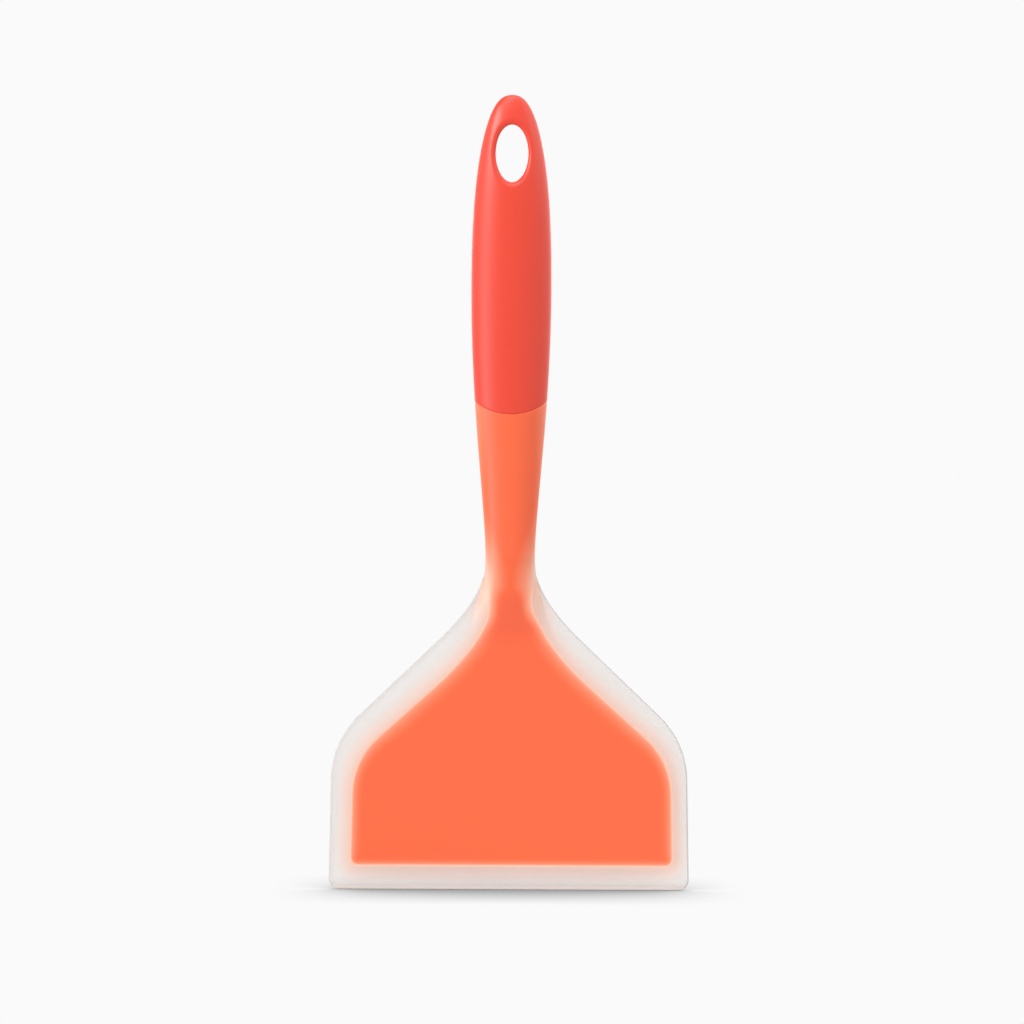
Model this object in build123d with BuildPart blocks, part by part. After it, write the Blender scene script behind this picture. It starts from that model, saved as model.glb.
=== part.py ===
from build123d import *
from math import asin, cos, pi, radians, sin, tan
import os

# A wide turner with a stiff core, a soft see-through jacket moulded over it and a grip moulded over its tang.
# Millimetres. +Z runs up the handle, X across the blade, the front faces -Y.
# The origin is the middle of the blade's front edge, and every height is measured up from that edge.

# Driving sizes
overall_height = 300.0
blade_width = 136.0
blade_thickness = 3.0
grip_width = 30.3
grip_thickness = 19.0
neck_width = 18.7
neck_thickness = 12.0

# Outline of the blade's soft rim
side_draft = 1.07  # degrees that each side leans in from upright
rim_corner_radius = 2.2
rim_shoulder_height = 56.0  # where the side and the slope would meet without their round corner
rim_shoulder_radius = 34.0
rim_slope = 46.35  # degrees from upright
rim_slope_radius = 85.0
rim_neck_radius = 41.0
rim_neck_inset = 1.2  # the rim starts this far inside the neck's sides
rim_edge_thickness = 1.3
neck_turn_share = 0.777  # share of the slope that the tighter arc, next to the neck, turns through

# Outline of the core's stiff plate
lip_bottom = 9.4  # soft silicone below the plate
lip_side = 7.5  # soft silicone beside the plate, at the front edge
plate_shift = 1.0  # the plate sits this far right of the middle, as photographed
plate_corner_radius = 2.6
plate_shoulder_height = 48.7
plate_shoulder_radius = 29.3
plate_slope = 48.1
plate_slope_radius = 101.0
plate_neck_radius = 43.6
plate_neck_width = 12.6
plate_thickness = 1.4
land_share = 0.16  # share of the lip, out from the plate, that keeps the blade's full thickness

# Centre line of the handle
bend_height = 112.0  # the handle starts to lean forward here
bend_radius = 80.0
handle_lean = 10.0  # degrees

# Grip, from its widest place up to the tip, as two superellipses
grip_widest_depth = 72.0  # from the tip down to the widest place
tip_width_power = 2.35
tip_thickness_power = 1.8
tip_turn = 86.0  # degrees of the quarter turn that the sections cover, which leaves a small flat on top
tip_steps = 6

# Grip and neck, from the widest place down to the narrowest
neck_height = 127.0
taper_power = 1.5
taper_steps = 8

# Neck's ridge, from the narrowest place down to where it has sunk into the blade
ridge_end_height = 86.0
ridge_steps = 6
ridge_spread_share = 1.46  # how much wider than the neck the ridge ends
ridge_sunk_share = 0.8  # of the plate that the ridge ends in

# Core inside the neck and its ridge
neck_skin = 0.8  # silicone over the core at the neck
core_spread_share = 0.41  # the same, for the core's own ridge
core_waist_share = 2.6  # how strongly the core draws in below the neck before it spreads

# Seam between jacket and grip
seam_height = 179.6  # its lowest point
seam_radius = 22.4  # a cylinder of this radius cuts the seam front to back
seam_round = 0.3  # both pieces turn in by this radius at the seam, which leaves a fine groove

# Tang, the core's bar inside the grip
tang_top_depth = 45.0  # from the tip down to the tang's top
tang_root_depth = 6.0  # the bar starts this far below the seam, inside the core's neck
tang_foot_width = 17.0
tang_foot_thickness = 9.0
tang_top_width = 13.0
tang_top_thickness = 6.0
tang_corner_radius = 2.0
window_width = 5.0
window_length = 15.0
least_window_pitch = 24.0  # the windows are as many as this leaves room for above the seam

# Hanging hole
hole_depth = 21.9  # from the tip down to its middle
hole_width = 12.2
hole_length = 21.5
hole_rim_radius = 1.7

# Heights that follow the tip
grip_widest_height = overall_height - grip_widest_depth
tang_top_height = overall_height - tang_top_depth
hole_height = overall_height - hole_depth

# Windows, spread evenly between the seam and the tang's top
tang_free_length = tang_top_height - seam_height
window_count = int(tang_free_length // least_window_pitch)
window_pitch = tang_free_length / window_count

# Half sizes
grip_half_width = grip_width / 2
grip_half_thickness = grip_thickness / 2
neck_half_width = neck_width / 2
neck_half_thickness = neck_thickness / 2
core_neck_half_width = neck_half_width - neck_skin
core_neck_half_thickness = neck_half_thickness - neck_skin
blade_half_thickness = blade_thickness / 2
plate_half_thickness = plate_thickness / 2
rim_half_thickness = rim_edge_thickness / 2


def blend(low, high, share):
    """The value a share of the way from low to high."""
    return low + (high - low) * share


# Named sizes of each outline that blade_face draws
rim = {
    "bottom": 0.0,
    "half_width": blade_width / 2,
    "shift": 0.0,
    "corner_radius": rim_corner_radius,
    "shoulder_height": rim_shoulder_height,
    "shoulder_radius": rim_shoulder_radius,
    "slope": rim_slope,
    "slope_radius": rim_slope_radius,
    "neck_radius": rim_neck_radius,
    "neck_half_width": neck_half_width - rim_neck_inset,
}
plate = {
    "bottom": lip_bottom,
    "half_width": blade_width / 2 - lip_side,
    "shift": plate_shift,
    "corner_radius": plate_corner_radius,
    "shoulder_height": plate_shoulder_height,
    "shoulder_radius": plate_shoulder_radius,
    "slope": plate_slope,
    "slope_radius": plate_slope_radius,
    "neck_radius": plate_neck_radius,
    "neck_half_width": plate_neck_width / 2,
}
land = {name: blend(plate[name], rim[name], land_share) for name in plate}


def blade_plane(sizes, forward):
    """Plane of a blade outline, this far in front of the blade's middle, its Y up the handle."""
    return Plane(origin=(sizes["shift"], -forward, 0), x_dir=(1, 0, 0), z_dir=(0, -1, 0))


def blade_face(sizes):
    """Face inside a blade outline, from its named sizes: edge, corner, side, shoulder, slope and two arcs."""
    draft = radians(side_draft)
    slope = radians(sizes["slope"])
    neck_turn = slope * neck_turn_share
    corner_tangent = sizes["corner_radius"] * tan((pi / 2 + draft) / 2)
    shoulder_tangent = sizes["shoulder_radius"] * tan((slope - draft) / 2)
    shoulder_rise = sizes["shoulder_height"] - sizes["bottom"]
    side_length = shoulder_rise / cos(draft) - corner_tangent - shoulder_tangent
    # The straight slope is what is left across, between the shoulder and the two arcs at the neck
    tight_across = sizes["neck_radius"] * (1 - cos(neck_turn))
    easy_across = sizes["slope_radius"] * (cos(neck_turn) - cos(slope))
    shoulder_x = sizes["half_width"] - shoulder_rise * tan(draft)
    slope_across = shoulder_x - sizes["neck_half_width"] - tight_across - easy_across
    slope_length = slope_across / sin(slope) - shoulder_tangent

    with BuildSketch() as outline:
        with BuildLine():
            edge_end = (sizes["half_width"] - corner_tangent, sizes["bottom"])
            edge = Line((0, sizes["bottom"]), edge_end)
            corner = JernArc(edge @ 1, edge % 1, sizes["corner_radius"], 90 + side_draft)
            side = PolarLine(corner @ 1, side_length, direction=corner % 1)
            shoulder_turn = sizes["slope"] - side_draft
            shoulder = JernArc(side @ 1, side % 1, sizes["shoulder_radius"], shoulder_turn)
            slant = PolarLine(shoulder @ 1, slope_length, direction=shoulder % 1)
            easy_turn = -sizes["slope"] * (1 - neck_turn_share)
            easy = JernArc(slant @ 1, slant % 1, sizes["slope_radius"], easy_turn)
            tight_turn = -sizes["slope"] * neck_turn_share
            tight = JernArc(easy @ 1, easy % 1, sizes["neck_radius"], tight_turn)
            Line(tight @ 1, (0, (tight @ 1).Y))
            mirror(about=Plane.YZ)
        make_face()
    return outline.sketch


def handle_plane(height):
    """Plane square to the handle's centre line where that line reaches this height, its X across the handle."""
    lean = radians(handle_lean)
    rise = height - bend_height
    if rise <= 0:
        turn, forward = 0.0, 0.0
    elif rise < bend_radius * sin(lean):
        turn = asin(rise / bend_radius)
        forward = bend_radius * (1 - cos(turn))
    else:
        turn = lean
        forward = bend_radius * (1 - cos(lean)) + (rise - bend_radius * sin(lean)) * tan(lean)
    return Plane(origin=(0, -forward, height), x_dir=(1, 0, 0), z_dir=(0, -sin(turn), cos(turn)))


def ridge_size(height, half_width, half_thickness, plate_half, spread_share, waist_share):
    """Half sizes of a ridge that starts at the neck with the first pair, spreads and runs out in a plate."""
    down = (neck_height - height) / (neck_height - ridge_end_height)
    wide = 1 + spread_share * down**2 - waist_share * down**1.5 * (1 - down) ** 2
    thick = (1 + cos(pi * down)) / 2
    return half_width * wide, blend(plate_half * ridge_sunk_share, half_thickness, thick)


def form_size(height):
    """Half width and half thickness, at a height, of the outer form of grip, neck and ridge."""
    if height > grip_widest_height:
        up = (height - grip_widest_height) / tip_span
        wide = (1 - up**tip_width_power) ** (1 / tip_width_power)
        thick = (1 - up**tip_thickness_power) ** (1 / tip_thickness_power)
        return grip_half_width * wide, grip_half_thickness * thick
    if height > neck_height:
        down = (grip_widest_height - height) / (grip_widest_height - neck_height)
        full = (1 - down**2) ** taper_power
        half_width = blend(neck_half_width, grip_half_width, full)
        return half_width, blend(neck_half_thickness, grip_half_thickness, full)
    return ridge_size(
        height, neck_half_width, neck_half_thickness, blade_half_thickness, ridge_spread_share, 0
    )


def core_size(height):
    """The same for the core inside the neck and its ridge."""
    if height > neck_height:
        half_width, half_thickness = form_size(height)
        return half_width - neck_skin, half_thickness - neck_skin
    return ridge_size(
        height,
        core_neck_half_width,
        core_neck_half_thickness,
        plate_half_thickness,
        core_spread_share,
        core_waist_share,
    )


def heights_between(top, bottom, steps):
    """Evenly spaced heights from just below the top down to the bottom."""
    return [blend(top, bottom, (step + 1) / steps) for step in range(steps)]


# Heights of the sections, closer together where the tip turns over
tip_height_shares = [
    sin(radians(tip_turn * step / tip_steps)) ** (2 / tip_width_power) for step in range(tip_steps, -1, -1)
]
tip_span = (overall_height - grip_widest_height) / tip_height_shares[0]
tip_heights = [grip_widest_height + tip_span * share for share in tip_height_shares]
taper_heights = heights_between(grip_widest_height, neck_height, taper_steps)
ridge_heights = heights_between(neck_height, ridge_end_height, ridge_steps)

# The core's neck is drawn well past the seam, which then cuts it off
shank_top = seam_height + seam_radius / 2
shank_heights = [shank_top] + heights_between(shank_top, neck_height, taper_steps)

# Outer form of grip, neck and ridge, which the seam divides
with BuildPart() as handle_form:
    for height in tip_heights + taper_heights + ridge_heights:
        with BuildSketch(handle_plane(height)):
            Ellipse(*form_size(height))
    loft()

# Space above the seam
with BuildPart() as above_seam:
    with BuildSketch(Plane.XZ):
        with Locations((0, seam_height + seam_radius)):
            Circle(seam_radius)
            Rectangle(blade_width, overall_height, align=(Align.CENTER, Align.MIN))
    extrude(amount=overall_height / 2, both=True)

# Stiff core: ridge and neck, plate, tang with windows
with BuildPart() as nylon_core:
    for height in shank_heights + ridge_heights:
        with BuildSketch(handle_plane(height)):
            Ellipse(*core_size(height))
    loft()
    add(above_seam.part, mode=Mode.SUBTRACT)
    with BuildSketch(blade_plane(plate, -plate_half_thickness)):
        add(blade_face(plate))
    extrude(amount=plate_thickness)
    with BuildSketch(handle_plane(seam_height - tang_root_depth)):
        RectangleRounded(tang_foot_width, tang_foot_thickness, tang_corner_radius)
    with BuildSketch(handle_plane(tang_top_height)):
        RectangleRounded(tang_top_width, tang_top_thickness, tang_corner_radius)
    loft()
    with BuildSketch(Plane.XZ):
        with Locations((0, seam_height + tang_free_length / 2)):
            with GridLocations(0, window_pitch, 1, window_count):
                SlotOverall(window_length, window_width, rotation=90)
    extrude(amount=overall_height / 2, both=True, mode=Mode.SUBTRACT)
nylon_core.part.label = "nylon_core"

# Soft jacket over the plate and the neck
with BuildPart() as silicone_jacket:
    add(handle_form.part)
    add(above_seam.part, mode=Mode.SUBTRACT)
    fillet(silicone_jacket.edges(Select.LAST).filter_by(lambda edge: edge.is_closed), seam_round)
    for sizes, forward in (
        (land, -blade_half_thickness),
        (rim, -rim_half_thickness),
        (rim, rim_half_thickness),
        (land, blade_half_thickness),
    ):
        with BuildSketch(blade_plane(sizes, forward)):
            add(blade_face(sizes))
    loft(ruled=True)
    add(nylon_core.part, mode=Mode.SUBTRACT)
silicone_jacket.part.label = "silicone_jacket"

# Grip over the tang, with its hanging hole
with BuildPart() as handle_grip:
    add(handle_form.part)
    add(above_seam.part, mode=Mode.INTERSECT)
    fillet(handle_grip.edges(Select.LAST).filter_by(lambda edge: edge.is_closed), seam_round)
    with BuildSketch(Plane.XZ):
        with Locations((0, hole_height)):
            Ellipse(hole_width / 2, hole_length / 2)
    extrude(amount=overall_height / 2, both=True, mode=Mode.SUBTRACT)
    fillet(handle_grip.edges(Select.LAST).filter_by(lambda edge: edge.is_closed), hole_rim_radius)
    add(nylon_core.part, mode=Mode.SUBTRACT)
handle_grip.part.label = "handle_grip"

os.makedirs("parts", exist_ok=True)
for piece in (nylon_core, silicone_jacket, handle_grip):
    print(piece.part.label, piece.part.is_valid, len(piece.part.solids()), piece.part.volume)
    export_step(piece.part, f"parts/{piece.part.label}.step")
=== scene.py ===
import math

import bmesh
import bpy
from mathutils import Matrix, Vector
from mathutils.bvhtree import BVHTree
from mathutils.kdtree import KDTree


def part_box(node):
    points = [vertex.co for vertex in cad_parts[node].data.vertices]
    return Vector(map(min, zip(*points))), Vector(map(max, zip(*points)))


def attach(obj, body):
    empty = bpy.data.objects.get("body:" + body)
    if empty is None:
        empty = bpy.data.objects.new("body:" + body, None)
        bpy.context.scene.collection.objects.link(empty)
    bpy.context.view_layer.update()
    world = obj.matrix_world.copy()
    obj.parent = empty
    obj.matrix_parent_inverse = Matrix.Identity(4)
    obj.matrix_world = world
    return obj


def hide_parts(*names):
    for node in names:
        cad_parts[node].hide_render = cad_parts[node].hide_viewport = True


# A wide silicone turner: a stiff orange core seen through a milky see-through jacket, and a red grip.
# Metres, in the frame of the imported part: +Z up the handle, the front faces -Y, the blade's edge at z 0.
# Distances marked on the jacket, and values whose name ends in mm, are in millimetres.

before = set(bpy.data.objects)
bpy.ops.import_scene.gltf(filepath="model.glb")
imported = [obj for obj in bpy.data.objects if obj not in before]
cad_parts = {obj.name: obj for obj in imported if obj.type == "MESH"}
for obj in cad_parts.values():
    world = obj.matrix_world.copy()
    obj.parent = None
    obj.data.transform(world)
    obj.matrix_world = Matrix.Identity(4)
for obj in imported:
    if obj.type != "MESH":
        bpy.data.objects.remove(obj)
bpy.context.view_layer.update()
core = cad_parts["nylon_core"]
jacket_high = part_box("silicone_jacket")[1]
core_low, core_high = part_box("nylon_core")

# Outline of the blade's soft rim
rim_half_width = jacket_high.x
side_draft = math.radians(1.07)
rim_corner_radius = 0.0038
rim_shoulder_height = 0.056
rim_shoulder_radius = 0.034
rim_slope = math.radians(46.35)
rim_slope_radius = 0.085
rim_neck_radius = 0.041
rim_neck_half_width = 0.00815
neck_turn_share = 0.777
rim_step = 0.0002
least_arc_steps = 6

# Thickness of the blade
blade_half_thickness = 0.0015
rim_half_thickness = 0.00065
rim_round = 0.0004
land_share = 0.84

# Centre line of the handle
bend_height = 0.112
bend_radius = 0.080
handle_lean = math.radians(10)

# Form of grip, neck and ridge
tip_height = 0.300
tip_press = 0.00015
tip_press_reach = 0.004
tip_span = 0.07215
tip_width_power = 2.35
tip_thickness_power = 1.8
widest_height = 0.228
grip_half_width = 0.01515
grip_half_thickness = 0.0095
neck_height = 0.127
neck_half_width = 0.00935
neck_half_thickness = 0.0060
taper_power = 1.5
ridge_end_height = 0.086
ridge_spread_share = 1.46
ridge_sunk_share = 0.8
blend_power = 3.0

# Hanging hole
hole_height = 0.2781
hole_half_width = 0.0061
hole_half_length = 0.01075
hole_rim = 0.0018
hole_rim_start = math.radians(28)

# Seam between jacket and grip
seam_height = 0.1800
seam_radius = 0.0224
seam_round = 0.0003
seam_reach_share = 0.9
seam_below = 0.006
seam_above = 0.012
round_in_share = 0.29
round_down_share = 0.71

# Rays at the core and at the jacket's own skin
ray_start = 0.2
corner_height = 0.004
skin_lift = 0.00002
silicone_reach = 0.014

# Look of the core's edge through the silicone, at the root of the neck and up the neck
# A veil's pair says how fast the look deepens at the veil's edge, and how much faster further in
to_mm = 1000
root_low = 0.098
root_height = 0.109
# The glow values set how far the painted glow of scattered light runs in from the core's edge, on the
# slopes and at the foot.
slope_glow = 0.65
slope_band = (0.040, 0.062)
foot_glow = 1.6
foot_glow_band = (0.0015, 0.004)
root_veil_half_mm = 7.2
root_veil = (0.35, 0.12)
neck_veil = (0.20, 0.05)
veil_change_mm = 6
veil_growth_mm = 8.4
veil_band = (0.116, 0.148)

# Bands over which the jacket's marks of painted light and shade fade in or out
above_edge_band = (0.0002, 0.0014)
edge_gap_mm = 1
foot_band = (0.0, 0.0035)
middle_band = (0.040, 0.066)
under_core_rise = (0.002, 0.005)
under_core_fall = (0.0075, 0.0095)
root_rise = (0.088, 0.100)
root_fall = (0.105, 0.116)
root_inside_band_mm = (0.5, 2.5)

# Rows and columns of the jacket
straight_top = 0.150
core_edge_band = 0.006
lip_rows = 22
core_edge_rows = 14
blade_rows = 62
ridge_rows = 44
neck_rows = 16
curved_rows = 22
curved_row_power = 1.6
lip_columns = 20
core_columns = 44
core_reach_share = 0.985

# Rows and rings of the grip
block_turn = math.radians(18)
hole_turn = math.radians(40.5)
turn_slack = 0.000001
around_count = 96
form_rings = 16
rim_rings = 8
wall_rings = 5
grip_rows = 60

# Passes that settle a place on the form, on the jacket's curved top and on the seam
form_passes = 12
curve_passes = 6
seam_passes = 30

weld_distance = 0.000004


def blend(low, high, share):
    """The value a share of the way from low to high."""
    return low + (high - low) * share


def smooth(low, high, value):
    """0 below low, 1 above high and an even S between them."""
    share = min(max((value - low) / (high - low), 0.0), 1.0)
    return share * share * (3 - 2 * share)


def walk(x, z, moves, step):
    """Points along straight moves (length, None) and left-hand arcs (radius, turn), starting towards +X."""
    heading = 0.0
    points = [(x, z)]
    for size, turn in moves:
        if turn is None:
            count = max(int(size / step), 1)
            for _ in range(count):
                x += size / count * math.cos(heading)
                z += size / count * math.sin(heading)
                points.append((x, z))
        else:
            count = max(int(size * abs(turn) / step), least_arc_steps)
            part = turn / count
            chord = 2 * size * math.sin(abs(part) / 2)
            for _ in range(count):
                x += chord * math.cos(heading + part / 2)
                z += chord * math.sin(heading + part / 2)
                heading += part
                points.append((x, z))
    return points


def rim_outline():
    """Right half of the rim's outline, from the middle of the edge up to the neck, as (x, z) points."""
    neck_turn = rim_slope * neck_turn_share
    corner_tangent = rim_corner_radius * math.tan((math.pi / 2 + side_draft) / 2)
    shoulder_tangent = rim_shoulder_radius * math.tan((rim_slope - side_draft) / 2)
    side_length = rim_shoulder_height / math.cos(side_draft) - corner_tangent - shoulder_tangent
    tight_across = rim_neck_radius * (1 - math.cos(neck_turn))
    easy_across = rim_slope_radius * (math.cos(neck_turn) - math.cos(rim_slope))
    edge_half = rim_half_width + rim_corner_radius * math.tan(side_draft)
    shoulder_x = edge_half - rim_shoulder_height * math.tan(side_draft)
    slope_across = shoulder_x - rim_neck_half_width - tight_across - easy_across
    moves = [
        (edge_half - corner_tangent, None),
        (rim_corner_radius, math.pi / 2 + side_draft),
        (side_length, None),
        (rim_shoulder_radius, rim_slope - side_draft),
        (slope_across / math.sin(rim_slope) - shoulder_tangent, None),
        (rim_slope_radius, -rim_slope * (1 - neck_turn_share)),
        (rim_neck_radius, -rim_slope * neck_turn_share),
    ]
    return walk(0.0, 0.0, moves, rim_step)


outline = rim_outline()
rim_top = outline[-1][1]
outline_tree = KDTree(2 * len(outline))
for number, (x, z) in enumerate(outline):
    outline_tree.insert((x, 0, z), 2 * number)
    outline_tree.insert((-x, 0, z), 2 * number + 1)
outline_tree.balance()


def rim_distance(x, z):
    """Distance from a place in the blade's plane to the rim's outline."""
    place = Vector((abs(x), z))
    nearest = outline_tree.find((x, 0, z))[1] // 2
    gaps = []
    for first in (max(nearest - 1, 0), min(nearest, len(outline) - 2)):
        start, end = Vector(outline[first]), Vector(outline[first + 1])
        run = end - start
        share = min(max((place - start).dot(run) / run.length_squared, 0.0), 1.0)
        gaps.append((place - start - run * share).length)
    return min(gaps)


def rim_width(height):
    """Half width of the rim at this height, or zero above its top."""
    if height > rim_top:
        return 0.0
    low, high = 0, len(outline) - 1
    while high - low > 1:
        middle = (low + high) // 2
        if outline[middle][1] > height or (outline[middle][1] == height and height > 0):
            high = middle
        else:
            low = middle
    (x0, z0), (x1, z1) = outline[low], outline[high]
    if z1 == z0:
        return x1
    return blend(x0, x1, (height - z0) / (z1 - z0))


def handle_turn(height):
    """How far the handle's centre line has turned forward at this height."""
    return math.asin(min(max((height - bend_height) / bend_radius, 0.0), math.sin(handle_lean)))


def forward(height):
    """How far the handle's centre line is in front of the blade at this height."""
    rise = height - bend_height
    if rise <= 0:
        return 0.0
    turn = handle_turn(height)
    straight = rise - bend_radius * math.sin(turn)
    return bend_radius * (1 - math.cos(turn)) + straight * math.tan(turn)


def form_size(height):
    """Half width and half thickness of the handle, square to its centre line, at this height."""
    if height > widest_height:
        up = min((height - widest_height) / tip_span, 1.0)
        wide = (1 - up**tip_width_power) ** (1 / tip_width_power)
        thick = (1 - up**tip_thickness_power) ** (1 / tip_thickness_power)
        return grip_half_width * wide, grip_half_thickness * thick
    if height > neck_height:
        down = (widest_height - height) / (widest_height - neck_height)
        full = (1 - down**2) ** taper_power
        half_width = blend(neck_half_width, grip_half_width, full)
        return half_width, blend(neck_half_thickness, grip_half_thickness, full)
    down = (neck_height - height) / (neck_height - ridge_end_height)
    if down > 1:
        return 0.0, 0.0
    thick = (1 + math.cos(math.pi * down)) / 2
    half_thickness = blend(blade_half_thickness * ridge_sunk_share, neck_half_thickness, thick)
    return neck_half_width * (1 + ridge_spread_share * down**2), half_thickness


def form_point(angle, height):
    """Point of the handle's surface: angle 0 is its right side, a quarter turn its front."""
    half_width, half_thickness = form_size(height)
    turn = handle_turn(height)
    deep = half_thickness * math.sin(angle)
    pressed = tip_press * smooth(tip_height - tip_press_reach, widest_height + tip_span, height)
    return Vector(
        (
            half_width * math.cos(angle),
            -forward(height) - deep * math.cos(turn),
            height - pressed - deep * math.sin(turn),
        )
    )


def level_on_form(x, z, side):
    """Height on the centre line of the surface's point at x, z, and how far the point is from that line."""
    height = z
    for _ in range(form_passes):
        half_width, half_thickness = form_size(height)
        deep = side * half_thickness * math.sqrt(max(1 - (x / half_width) ** 2, 0.0))
        height = z + deep * math.sin(handle_turn(height))
    return height, deep


def front_of_form(x, z, side):
    """Y of the handle's surface at x, z: its front with side 1 and its back with side -1."""
    height, deep = level_on_form(x, z, side)
    return -forward(height) - deep * math.cos(handle_turn(height))


core_tree = BVHTree.FromObject(core, bpy.context.evaluated_depsgraph_get())


def core_edges(height):
    """Left and right edge of the core at this height, or above its lower corners if that is higher."""
    height = max(height, core_low.z + corner_height)
    middle = -forward(height)
    found = []
    for side in (-1, 1):
        hit = core_tree.ray_cast(Vector((side * ray_start, middle, height)), Vector((-side, 0, 0)))
        found.append(hit[0].x)
    return found


def covers_core(x, height):
    """Whether the core lies behind this place, seen from the front."""
    return core_tree.ray_cast(Vector((x, -ray_start, height)), Vector((0, 1, 0)))[0] is not None


def core_outline():
    """Points (x, z) on the outline of the core's plate, seen from the front, up to the root of the neck."""
    points = []
    for row in range(int((root_height - core_low.z) / rim_step)):
        height = core_low.z + (row + 0.5) * rim_step
        for side in (-1, 1):
            hit = core_tree.ray_cast(Vector((side * ray_start, 0, height)), Vector((-side, 0, 0)))
            if hit[0] is not None:
                points.append((hit[0].x, height))
    for column in range(int((core_high.x - core_low.x) / rim_step)):
        x = core_low.x + (column + 0.5) * rim_step
        hit = core_tree.ray_cast(Vector((x, 0, -ray_start)), Vector((0, 0, 1)))
        if hit[0] is not None:
            points.append((x, hit[0].z))
    return points


plate_points = core_outline()
plate_tree = KDTree(len(plate_points))
for number, (x, z) in enumerate(plate_points):
    plate_tree.insert((x, 0, z), number)
plate_tree.balance()


def inside_core(x, height):
    """How far in mm inside the core's outline this place looks from the front, negative outside it.
    Up the neck the silicone is thicker and blurs the outline, so the distance counts less there."""
    sharp = plate_tree.find((x, 0, height))[2] * to_mm
    if covers_core(x, height):
        over_foot = 1 - smooth(*foot_glow_band, height - core_low.z)
        sharp *= blend(blend(1.0, slope_glow, smooth(*slope_band, height)), foot_glow, over_foot)
    else:
        sharp *= -1
    up = max(height - root_height, 0.0) * to_mm
    deep = root_veil_half_mm + veil_growth_mm * smooth(*veil_band, height) - abs(x) * to_mm
    eased = smooth(0, veil_change_mm, up)
    slope, bend = (blend(low, high, eased) for low, high in zip(root_veil, neck_veil))
    veiled = deep * (slope + bend * max(deep, 0.0))
    return blend(sharp, veiled, smooth(root_low, root_height, height))


def seam_at(x):
    """Height of the seam at this distance from the middle."""
    reach = min(abs(x), seam_radius * seam_reach_share)
    return seam_height + seam_radius - math.sqrt(seam_radius**2 - reach**2)


def plate_half(x, height, edges):
    """Half thickness of the blade at this point, thinned towards its rounded rim."""
    inside = rim_width(height) - abs(x)
    if inside < 0 or height > rim_top:
        return 0.0
    from_rim = rim_distance(x, height)
    if height > core_low.z and edges[0] < x < edges[1]:
        share = 1.0
    else:
        from_core = core_tree.find_nearest(Vector((x, 0, height)))[3]
        share = from_rim / (from_rim + from_core)
    half = blend(rim_half_thickness, blade_half_thickness, min(share / land_share, 1.0))
    if from_rim < rim_round:
        half -= rim_round - math.sqrt(rim_round**2 - (rim_round - from_rim) ** 2)
    return half


def ridge_half(x, height):
    """Half thickness of the neck or its ridge, measured level, at this point."""
    half_width, half_thickness = form_size(height)
    if half_width <= abs(x):
        return 0.0
    return half_thickness * math.sqrt(1 - (x / half_width) ** 2) / math.cos(handle_turn(height))


def jacket_half(x, height, edges):
    """Half thickness of the whole jacket at this point, ridge and blade run into each other."""
    plate = plate_half(x, height, edges)
    ridge = ridge_half(x, height)
    return (plate**blend_power + ridge**blend_power) ** (1 / blend_power)


def spread(low, high, count, kind):
    """Values from low to high, all but the last, evenly apart or closer together at both ends."""
    if kind == "ends":
        shares = [(1 - math.cos(math.pi * step / count)) / 2 for step in range(count)]
    else:
        shares = [step / count for step in range(count)]
    return [blend(low, high, share) for share in shares]


def row_heights():
    """Heights of the jacket's level rows, close together at the rim and at the core's edge."""
    core_edge = core_low.z
    rows = spread(0.0, core_edge, lip_rows, "ends")
    rows += spread(core_edge, core_edge + core_edge_band, core_edge_rows, "ends")
    rows += spread(core_edge + core_edge_band, ridge_end_height, blade_rows, "even")
    rows += spread(ridge_end_height, neck_height, ridge_rows, "even")
    rows += spread(neck_height, straight_top, neck_rows, "even")
    return rows


def jacket_columns(height, half_width):
    """Places across the jacket, which follow both edges of the core."""
    left, right = core_edges(height)
    left = max(left, -half_width * core_reach_share)
    right = min(right, half_width * core_reach_share)
    columns = spread(-half_width, left, lip_columns, "ends")
    columns += spread(left, right, core_columns, "ends")
    columns += spread(right, half_width, lip_columns, "ends")
    return columns + [half_width]


def jacket_rows():
    """Rows of (x, z) places up the jacket, the top ones bent to the seam's curve."""
    rows = []
    for height in row_heights():
        half_width = max(rim_width(height), form_size(height)[0])
        rows.append([(x, height) for x in jacket_columns(height, half_width)])
    for step in range(curved_rows + 1):
        share = 1 - (1 - step / curved_rows) ** curved_row_power
        half_width = form_size(straight_top)[0]
        shares = [x / half_width for x in jacket_columns(straight_top, half_width)]
        row = []
        for part in shares:
            x = part * half_width
            for _ in range(curve_passes):
                height = blend(straight_top, seam_at(x), share)
                x = part * form_size(height)[0]
            row.append((x, height))
        rows.append(row)
    return rows


def make_mesh(name, points, faces):
    mesh = bpy.data.meshes.new(name)
    mesh.from_pydata([tuple(point) for point in points], [], faces)
    mesh.validate()
    mesh.update()
    piece = bpy.data.objects.new(name, mesh)
    bpy.context.scene.collection.objects.link(piece)
    return piece


def weld(piece):
    """Joins the points of a mesh that lie together, turns its faces outward and shades it smooth."""
    work = bmesh.new()
    work.from_mesh(piece.data)
    bmesh.ops.remove_doubles(work, verts=work.verts, dist=weld_distance)
    bmesh.ops.dissolve_degenerate(work, edges=work.edges, dist=weld_distance)
    bmesh.ops.recalc_face_normals(work, faces=work.faces)
    for face in work.faces:
        face.smooth = True
    work.to_mesh(piece.data)
    work.free()


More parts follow.
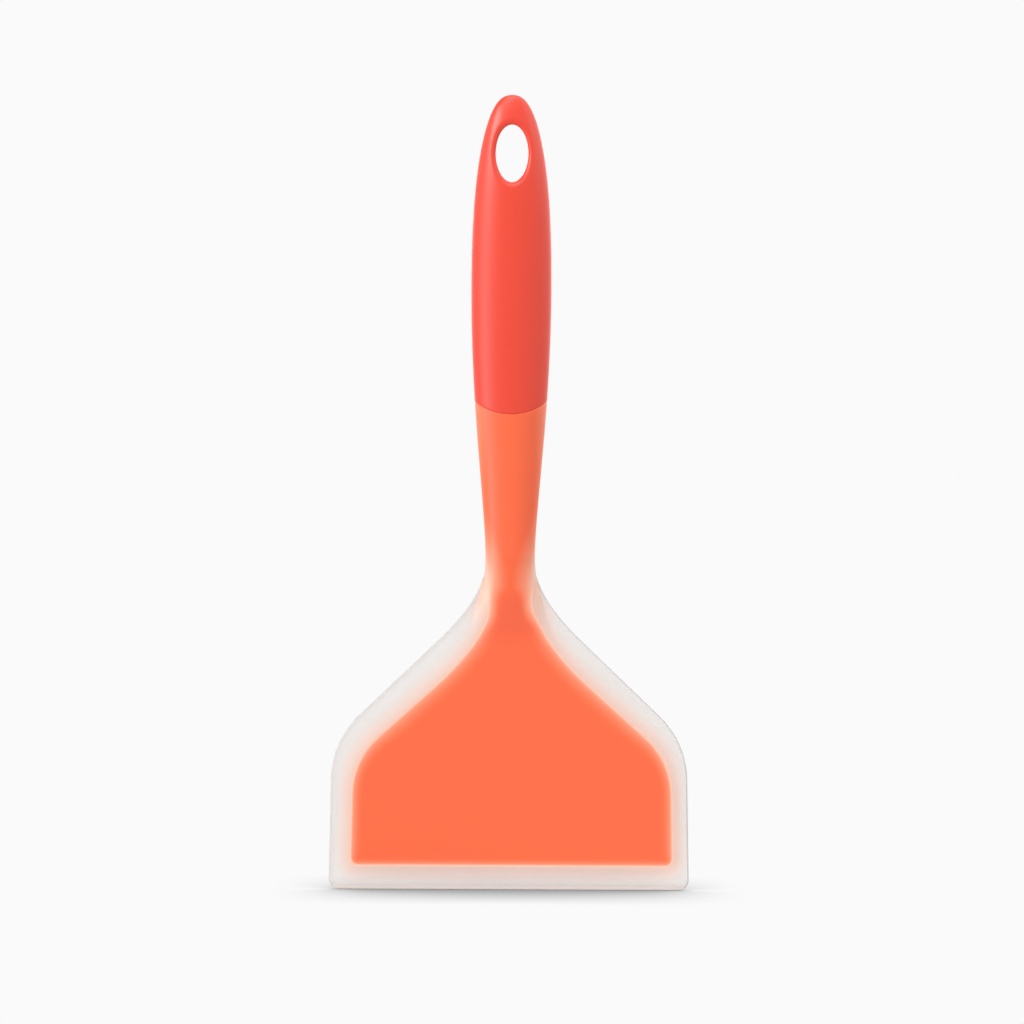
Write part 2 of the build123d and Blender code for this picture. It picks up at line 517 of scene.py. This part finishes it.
def make_jacket():
    """Closed skin of the soft jacket, with no hollow for the core."""
    rows = jacket_rows()
    points, faces = [], []
    across = len(rows[0])
    for side in (-1, 1):
        for row in rows:
            height_middle = row[across // 2][1]
            edges = core_edges(height_middle)
            for x, height in row:
                half = jacket_half(x, height, edges)
                points.append(Vector((x, -forward(height) + side * half, height)))
    back = len(rows) * across
    # The last row turns in towards the seam by a small quarter round
    for start in (0, back):
        for column in range(across):
            index = start + (len(rows) - 1) * across + column
            height = points[index].z
            middle = Vector((0, -forward(height), height))
            inward = middle - points[index]
            if inward.length > 0:
                points[index] = points[index] + inward.normalized() * seam_round
    for row in range(len(rows) - 1):
        for column in range(across - 1):
            here = row * across + column
            above = here + across
            faces.append((here, here + 1, above + 1, above))
            faces.append((back + here, back + above, back + above + 1, back + here + 1))
        for column in (0, across - 1):
            here = row * across + column
            above = here + across
            ring = (here, above, back + above, back + here)
            faces.append(ring if column == 0 else ring[::-1])
    for row in (0, len(rows) - 1):
        for column in range(across - 1):
            here = row * across + column
            ring = (here, back + here, back + here + 1, here + 1)
            faces.append(ring if row == 0 else ring[::-1])
    piece = make_mesh("jacket_skin", points, faces)
    weld(piece)
    return piece


def mark_jacket(piece):
    """Marks, in mm, how far inside the core's outline each point is, how deep the silicone is under it and
    how far it is from the rim, and its share in the foot, under the core, at the root and in the neck. The
    foot, under-core and root shares place painted light and shade on the jacket's colour."""
    mesh = piece.data
    names = ["core_inside", "silicone_depth", "rim_gap"]
    names += ["foot_share", "under_core_shade", "root_shade_share", "neck_share"]
    values = {name: [] for name in names}
    places = [vertex.co for vertex in mesh.vertices]
    own_tree = BVHTree.FromPolygons(places, [list(face.vertices) for face in mesh.polygons])
    for vertex in mesh.vertices:
        place = vertex.co.copy()
        inward = -vertex.normal
        start = place + inward * skin_lift
        depth = core_tree.ray_cast(start, inward, silicone_reach)[3]
        if depth is None:
            through = own_tree.ray_cast(start, inward, silicone_reach)[3]
            depth = through / 2 if through is not None else rim_half_thickness
        inside = inside_core(place.x, place.z)
        values["core_inside"].append(inside)
        values["silicone_depth"].append(depth * to_mm)
        # The rim's painted shade line is kept off the bottom edge by a larger gap there.
        at_edge = 1 - smooth(*above_edge_band, place.z)
        values["rim_gap"].append(rim_distance(place.x, place.z) * to_mm + edge_gap_mm * at_edge)
        # Where the bottom edge takes its pale tone and painted light, and hides more.
        values["foot_share"].append(1 - smooth(*foot_band, place.z))
        # Where the painted shade and pink light go on the lip below the core's middle.
        middle = 1 - smooth(*middle_band, abs(place.x))
        under_core_shade = smooth(*under_core_rise, place.z) * (1 - smooth(*under_core_fall, place.z))
        values["under_core_shade"].append(middle * under_core_shade)
        # Where the painted shade at the root of the neck goes, inside the core's outline.
        at_root = smooth(*root_rise, place.z) * (1 - smooth(*root_fall, place.z))
        values["root_shade_share"].append(at_root * smooth(*root_inside_band_mm, inside))
        values["neck_share"].append(smooth(root_height, neck_height, place.z))
    for name, marks in values.items():
        mesh.attributes.new(name, "FLOAT", "POINT").data.foreach_set("value", marks)


jacket = make_jacket()
mark_jacket(jacket)


def tip_place(turn):
    """Height on the tip that a quarter turn from its widest place to its top reaches."""
    return widest_height + tip_span * math.sin(turn) ** (2 / tip_width_power)


def hole_place(way, apart):
    """Place (x, z) this far outside the hole's edge, in the direction of the angle on its ellipse."""
    x, z = hole_half_width * math.cos(way), hole_half_length * math.sin(way)
    out_x, out_z = math.cos(way) / hole_half_width, math.sin(way) / hole_half_length
    length = math.hypot(out_x, out_z)
    return x + apart * out_x / length, hole_height + z + apart * out_z / length


def hole_block(side):
    """Angles along the lower edge of the tip's front or back, and rings from its edges into the hole."""
    rings = []
    starts, ends = [], []
    for step in range(around_count):
        way = 2 * math.pi * step / around_count
        reach = max(abs(math.cos(way)), abs(math.sin(way)))
        across, rise = math.cos(way) / reach, math.sin(way) / reach
        limit = math.pi / 2 - hole_turn if rise > 0 else hole_turn - block_turn
        starts.append((math.pi / 2 - across * math.pi / 2, hole_turn + rise * limit))
        ends.append(way)
    for ring in range(form_rings):
        share = ring / form_rings
        rings.append([])
        for (angle, turn), way in zip(starts, ends):
            x, z = hole_place(way, hole_rim)
            height = level_on_form(x, z, side)[0]
            end_angle = math.acos(x / form_size(height)[0])
            end_turn = math.asin(((height - widest_height) / tip_span) ** (tip_width_power / 2))
            here = blend(angle, end_angle, share)
            rings[-1].append(form_point(side * here, tip_place(blend(turn, end_turn, share))))
    for ring in range(rim_rings + 1):
        bend = blend(hole_rim_start, math.pi / 2, ring / rim_rings)
        apart = (1 - math.sin(bend)) / (1 - math.sin(hole_rim_start))
        sunk = 1 - math.cos(bend) / math.cos(hole_rim_start)
        rings.append([])
        for way in ends:
            x, z = hole_place(way, hole_rim * apart)
            y = front_of_form(x, z, side) + side * hole_rim * sunk
            rings[-1].append(Vector((x, y, z)))
    lower_edge = sorted(angle for angle, turn in starts if turn < block_turn + turn_slack)
    return lower_edge, rings


def seam_row(angle, side):
    """Height on the centre line where the form's surface at this angle reaches the seam."""
    low, high = seam_height - seam_below, seam_height + seam_above
    for _ in range(seam_passes):
        middle = (low + high) / 2
        point = form_point(side * angle, middle)
        if point.z > seam_at(point.x):
            high = middle
        else:
            low = middle
    return (low + high) / 2


def make_grip():
    """Closed skin of the grip, with the hole's rounded rim and its wall in the same mesh."""
    points, faces = [], []

    def add_rings(rings, closed):
        first = len(points)
        across = len(rings[0])
        for ring in rings:
            points.extend(ring)
        for row in range(len(rings) - 1):
            for column in range(across if closed else across - 1):
                here = first + row * across + column
                beside = first + row * across + (column + 1) % across
                faces.append((here, beside, beside + across, here + across))

    block_height = tip_place(block_turn)
    hole_edges, seam_edges = [], []
    for side in (1, -1):
        angles, rings = hole_block(side)
        add_rings(rings, True)
        hole_edges.append(rings[-1])
        rows = [[] for _ in range(grip_rows + 3)]
        for angle in angles:
            end = seam_row(angle, side) + seam_round
            for row in range(grip_rows + 1):
                rows[row].append(form_point(side * angle, blend(block_height, end, row / grip_rows)))
            last = rows[grip_rows][-1]
            inward = (Vector((0, -forward(end), last.z)) - last).normalized()
            down = Vector((0, 0, -1))
            bend = round_in_share * inward + round_down_share * down
            rows[grip_rows + 1].append(last + seam_round * bend)
            rows[grip_rows + 2].append(last + seam_round * (inward + down))
        add_rings(rows, False)
        seam_edges.append(rows[-1])
    add_rings(seam_edges, False)
    walls = []
    for ring in range(wall_rings + 1):
        share = ring / wall_rings
        walls.append([front.lerp(back, share) for front, back in zip(*hole_edges)])
    add_rings(walls, True)
    piece = make_mesh("grip_skin", points, faces)
    weld(piece)
    return piece


grip = make_grip()


# Satin finish of all three pieces
satin_grain = 1600
satin_detail = 3
satin_strength = 0.25
satin_height = 0.00003

# Core and grip
core_colour = (0.985, 0.137, 0.042)
core_roughness = 0.38
core_gloss = 0.5
grip_colour = (0.84, 0.044, 0.012)
grip_roughness = 0.33
grip_gloss = 0.72

# Jacket: tints of painted light and shade and how much they count, and how much it hides
jacket_roughness = 0.40
jacket_gloss = 0.6
# Grey line along the rim: painted shade for the dark edge that refraction gives a rounded see-through rim.
rim_shade_tint = (0.64, 0.61, 0.60)
rim_shade_tint_band_mm = (0.35, 0.85)
# Pinkish grey over the bottom edge, made almost opaque: partly the silicone's own pale tone, partly painted
# light in place of the shade on the downward edge and of the floor's shadow behind it.
foot_tone_and_light = (0.77, 0.68, 0.65)
# Painted shade and painted pink light on the lip below the core's middle: the floor's dark contact shadow
# and light scattered down from the core.
under_shade_tint = (0.66, 0.50, 0.45)
under_shade_tint_share = 0.5
# Painted shade: a deeper orange in the hollow where the neck's ridge sinks into the blade.
root_shade_tint = (0.90, 0.120, 0.045)
root_shade_tint_share = 0.8
milk_depth_mm = 1.7
core_alpha = 0.96
core_alpha_band_mm = (-1.6, -0.2)
edge_alpha = 0.95

# Colour of the jacket by the distance in mm inside the core's outline, negative outside it
# Between them the peach is painted glow, light scattered from the orange core, brightest just outside its
# edge.
# Inside the core's outline this is the core's orange seen through the silicone, far outside it the
# silicone's own milky tone.
glow_reach_mm = 10.0
tone_and_painted_glow_colours = [
    (-8.0, (0.785, 0.74, 0.71)),
    (-6.0, (0.80, 0.73, 0.68)),
    (-4.3, (0.86, 0.70, 0.625)),
    (-2.9, (0.88, 0.66, 0.565)),
    (-1.9, (0.89, 0.635, 0.53)),
    (-0.9, (0.95, 0.61, 0.47)),
    (-0.35, (1.00, 0.60, 0.47)),
    (0.1, (1.00, 0.38, 0.24)),
    (0.45, (1.00, 0.30, 0.17)),
    (1.2, (1.00, 0.232, 0.112)),
    (1.9, (1.00, 0.196, 0.082)),
    (2.6, (1.00, 0.166, 0.060)),
    (3.6, core_colour),
]


def new_material(name):
    material = bpy.data.materials.new(name)
    material.use_nodes = True
    nodes = material.node_tree.nodes
    return material, nodes, material.node_tree.links, nodes["Principled BSDF"]


def attribute(nodes, name):
    node = nodes.new("ShaderNodeAttribute")
    node.attribute_name = name
    return node.outputs["Fac"]


def remap(nodes, links, value, low, high, out_low=0.0, out_high=1.0, kind="SMOOTHSTEP"):
    node = nodes.new("ShaderNodeMapRange")
    node.interpolation_type = kind
    node.inputs["From Min"].default_value = low
    node.inputs["From Max"].default_value = high
    node.inputs["To Min"].default_value = out_low
    node.inputs["To Max"].default_value = out_high
    links.new(value, node.inputs["Value"])
    return node.outputs["Result"]


def ramp(nodes, links, value, stops):
    """Colour ramp through (place, colour) stops."""
    node = nodes.new("ShaderNodeValToRGB")
    elements = node.color_ramp.elements
    for _ in range(len(stops) - 2):
        elements.new(0.5)
    for element, (place, colour) in zip(elements, stops):
        element.position = place
        element.color = (*colour, 1)
    links.new(value, node.inputs["Fac"])
    return node.outputs["Color"]


def mix(nodes, links, share, first, second):
    node = nodes.new("ShaderNodeMix")
    node.data_type = "RGBA"
    links.new(share, node.inputs["Factor"])
    for socket, colour in ((node.inputs[6], first), (node.inputs[7], second)):
        if isinstance(colour, tuple):
            socket.default_value = (*colour, 1)
        else:
            links.new(colour, socket)
    return node.outputs[2]


def combine(nodes, links, operation, first, second):
    node = nodes.new("ShaderNodeMath")
    node.operation = operation
    for socket, value in zip(node.inputs, (first, second)):
        if isinstance(value, (int, float)):
            socket.default_value = value
        elif value is not None:
            links.new(value, socket)
    return node.outputs[0]


def satin_bump(nodes, links, shader):
    """Fine grain of a satin moulding."""
    place = nodes.new("ShaderNodeTexCoord")
    noise = nodes.new("ShaderNodeTexNoise")
    noise.inputs["Scale"].default_value = satin_grain
    noise.inputs["Detail"].default_value = satin_detail
    bump = nodes.new("ShaderNodeBump")
    bump.inputs["Strength"].default_value = satin_strength
    bump.inputs["Distance"].default_value = satin_height
    links.new(place.outputs["Object"], noise.inputs["Vector"])
    links.new(noise.outputs["Fac"], bump.inputs["Height"])
    links.new(bump.outputs["Normal"], shader.inputs["Normal"])


def moulded(name, colour, roughness, gloss):
    """Satin moulded plastic or rubber of one colour."""
    material, nodes, links, shader = new_material(name)
    shader.inputs["Base Color"].default_value = (*colour, 1)
    shader.inputs["Roughness"].default_value = roughness
    shader.inputs["Specular IOR Level"].default_value = gloss
    satin_bump(nodes, links, shader)
    return material


def jacket_material():
    """Milky silicone. It takes up the core's colour and hides more where deep. Its colour also holds
    painted light and shade: a glow of light scattered from the core at the core's edge, shade and pink
    light on the lip under the core, shade at the root of the neck, a lit pale tone on the bottom edge and a
    dark line along the rim.
    """
    material, nodes, links, shader = new_material("milky_silicone")
    inside = attribute(nodes, "core_inside")
    foot = attribute(nodes, "foot_share")
    neck = attribute(nodes, "neck_share")
    place = remap(nodes, links, inside, -glow_reach_mm, glow_reach_mm, kind="LINEAR")
    stops = [(0.5 + gap / glow_reach_mm / 2, colour) for gap, colour in tone_and_painted_glow_colours]
    # The ramp holds the core's colour, the silicone's tone and the painted glow of light scattered from the
    # core.
    glow = ramp(nodes, links, place, stops)
    # Painted shade and pink scattered light on the lip under the core.
    under = combine(nodes, links, "MULTIPLY", attribute(nodes, "under_core_shade"), under_shade_tint_share)
    glow = mix(nodes, links, under, glow, under_shade_tint)
    # Painted shade in the hollow at the root of the neck.
    root = combine(nodes, links, "MULTIPLY", attribute(nodes, "root_shade_share"), root_shade_tint_share)
    glow = mix(nodes, links, root, glow, root_shade_tint)
    # Pale tone and painted light over the bottom edge.
    glow = mix(nodes, links, foot, glow, foot_tone_and_light)
    # Painted shade line along the rim, left off along the bottom edge and up the neck.
    rim = remap(nodes, links, attribute(nodes, "rim_gap"), *rim_shade_tint_band_mm, 1.0, 0.0)
    rim = combine(nodes, links, "MULTIPLY", rim, combine(nodes, links, "SUBTRACT", 1.0, neck))
    links.new(mix(nodes, links, rim, glow, rim_shade_tint), shader.inputs["Base Color"])
    depth = combine(nodes, links, "MULTIPLY", attribute(nodes, "silicone_depth"), 1 / milk_depth_mm)
    alpha = combine(nodes, links, "SUBTRACT", 1.0, combine(nodes, links, "POWER", math.exp(-1), depth))
    over_core = remap(nodes, links, inside, *core_alpha_band_mm, 0.0, core_alpha)
    rim_alpha = combine(nodes, links, "MULTIPLY", rim, edge_alpha)
    foot_alpha = combine(nodes, links, "MULTIPLY", foot, edge_alpha)
    for least in (over_core, neck, rim_alpha, foot_alpha):
        alpha = combine(nodes, links, "MAXIMUM", alpha, least)
    links.new(alpha, shader.inputs["Alpha"])
    shader.inputs["Roughness"].default_value = jacket_roughness
    shader.inputs["Specular IOR Level"].default_value = jacket_gloss
    satin_bump(nodes, links, shader)
    return material


def dress(piece, material):
    piece.data.materials.clear()
    piece.data.materials.append(material)


dress(core, moulded("orange_nylon", core_colour, core_roughness, core_gloss))
dress(grip, moulded("red_silicone", grip_colour, grip_roughness, grip_gloss))
dress(jacket, jacket_material())
skins = [
    (jacket, "silicone_jacket", "clear_silicone"),
    (grip, "handle_grip", "grip_silicone"),
]
for piece, node, slot in skins:
    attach(piece, "root")
    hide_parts(node)

# Plain studio: a white background, a pale floor and a weak even world
background = 0.956
world_level = 0.04
floor_tone = 0.6
shadow_reach = 0.10
shadow_power = 1.5
shadow_samples = 16
shadow_fade_shares = (0.74, 1.4)
floor_drop = 0.00005
floor_half = 6.0

# Soft suns: name, azimuth (0 is the camera's side and 90 the right), elevation, strength and spread
suns = [
    ("key_light", -46, 8, 1.25, 26),
    ("low_light", -64, -20, 0.8, 26),
    ("side_light", -95, 5, 0.2, 40),
    ("fill_light", 58, 5, 0.72, 110),
    ("right_light", 90, 25, 1.3, 90),
    ("high_light", -18, 33, 0.5, 36),
    ("top_light", -5, 68, 1.15, 56),
    ("back_light", 180, 8, 2.2, 90),
]


def show_background(nodes):
    """1 for rays that look at the background: camera, glossy and transmission rays."""
    paths = nodes.new("ShaderNodeLightPath")
    links = nodes.id_data.links
    seen = combine(nodes, links, "MAXIMUM", paths.outputs["Is Camera Ray"], paths.outputs["Is Glossy Ray"])
    return combine(nodes, links, "MAXIMUM", seen, paths.outputs["Is Transmission Ray"])


def mix_shaders(nodes, links, share, first, second):
    node = nodes.new("ShaderNodeMixShader")
    links.new(share, node.inputs["Fac"])
    links.new(first, node.inputs[1])
    links.new(second, node.inputs[2])
    return node.outputs[0]


floor = make_mesh(
    "floor",
    [(x * floor_half, y * floor_half, -floor_drop) for x, y in ((-1, -1), (1, -1), (1, 1), (-1, 1))],
    [(0, 1, 2, 3)],
)
floor.visible_shadow = False


def floor_material():
    """Pale floor that shows the background's tone, darkened where the object stands close over it."""
    material, nodes, links, shader = new_material("pale_floor")
    output = nodes["Material Output"]
    nodes.remove(shader)
    matte = nodes.new("ShaderNodeBsdfDiffuse")
    matte.inputs["Color"].default_value = (floor_tone, floor_tone, floor_tone, 1)
    contact = nodes.new("ShaderNodeAmbientOcclusion")
    contact.samples = shadow_samples
    contact.inputs["Distance"].default_value = shadow_reach
    # The shadow fades beyond the blade's ends
    place = nodes.new("ShaderNodeTexCoord")
    parts = nodes.new("ShaderNodeSeparateXYZ")
    links.new(place.outputs["Object"], parts.inputs[0])
    across = combine(nodes, links, "ABSOLUTE", parts.outputs["X"], None)
    fade = [share * rim_half_width for share in shadow_fade_shares]
    power = remap(nodes, links, across, *fade, shadow_power, 0.0)
    depth = combine(nodes, links, "POWER", contact.outputs["AO"], power)
    shown = nodes.new("ShaderNodeEmission")
    links.new(combine(nodes, links, "MULTIPLY", depth, background), shown.inputs["Strength"])
    surface = mix_shaders(nodes, links, show_background(nodes), matte.outputs[0], shown.outputs[0])
    links.new(surface, output.inputs["Surface"])
    return material


dress(floor, floor_material())


def light_world():
    """Weak even light from all round, with the background's tone for the rays that look at it."""
    world = bpy.data.worlds.new("studio")
    bpy.context.scene.world = world
    world.use_nodes = True
    nodes, links = world.node_tree.nodes, world.node_tree.links
    nodes.clear()
    output = nodes.new("ShaderNodeOutputWorld")
    lit = nodes.new("ShaderNodeBackground")
    lit.inputs["Color"].default_value = (1, 1, 1, 1)
    lit.inputs["Strength"].default_value = world_level
    seen = nodes.new("ShaderNodeBackground")
    seen.inputs["Color"].default_value = (1, 1, 1, 1)
    seen.inputs["Strength"].default_value = background
    shown = mix_shaders(nodes, links, show_background(nodes), lit.outputs[0], seen.outputs[0])
    links.new(shown, output.inputs["Surface"])


def add_sun(name, azimuth, elevation, strength, spread_angle):
    """Soft distant lamp."""
    data = bpy.data.lights.new(name, "SUN")
    data.energy = strength
    data.angle = math.radians(spread_angle)
    lamp = bpy.data.objects.new(name, data)
    bpy.context.scene.collection.objects.link(lamp)
    turn, rise = math.radians(azimuth), math.radians(elevation)
    towards = Vector((math.sin(turn) * math.cos(rise), -math.cos(turn) * math.cos(rise), math.sin(rise)))
    lamp.rotation_mode = "QUATERNION"
    lamp.rotation_quaternion = towards.to_track_quat("Z", "Y")


light_world()
for sun in suns:
    add_sun(*sun)

# Camera: a long lens from the front, a little above the middle, turned slightly as the photograph is
image_size = 1024
metres_a_pixel = 0.0003773
edge_row = 890.0
axis_column = 510.4
roll = math.radians(0.27)
camera_rise = math.radians(1.8)
lens = 500.0
sensor = 36.0
clip_near = 0.1
clip_far = 40


def place_camera():
    """Camera whose picture shows the blade's edge and the object's axis at their row and column."""
    data = bpy.data.cameras.new("camera")
    data.lens = lens
    data.sensor_width = sensor
    data.clip_start = clip_near
    data.clip_end = clip_far
    camera = bpy.data.objects.new("camera", data)
    bpy.context.scene.collection.objects.link(camera)
    aside = (image_size / 2 - axis_column) * metres_a_pixel
    above = (edge_row - image_size / 2) * metres_a_pixel
    distance = image_size * metres_a_pixel * lens / sensor
    back_way = Vector((0, -math.cos(camera_rise), math.sin(camera_rise)))
    camera.location = Vector((aside, 0, above)) + back_way * distance
    camera.rotation_mode = "QUATERNION"
    turned = Matrix.Rotation(roll, 3, "Z").to_quaternion()
    camera.rotation_quaternion = back_way.to_track_quat("Z", "Y") @ turned
    bpy.context.scene.camera = camera


place_camera()
bpy.context.scene.view_settings.view_transform = "Standard"

bpy.context.view_layer.update()
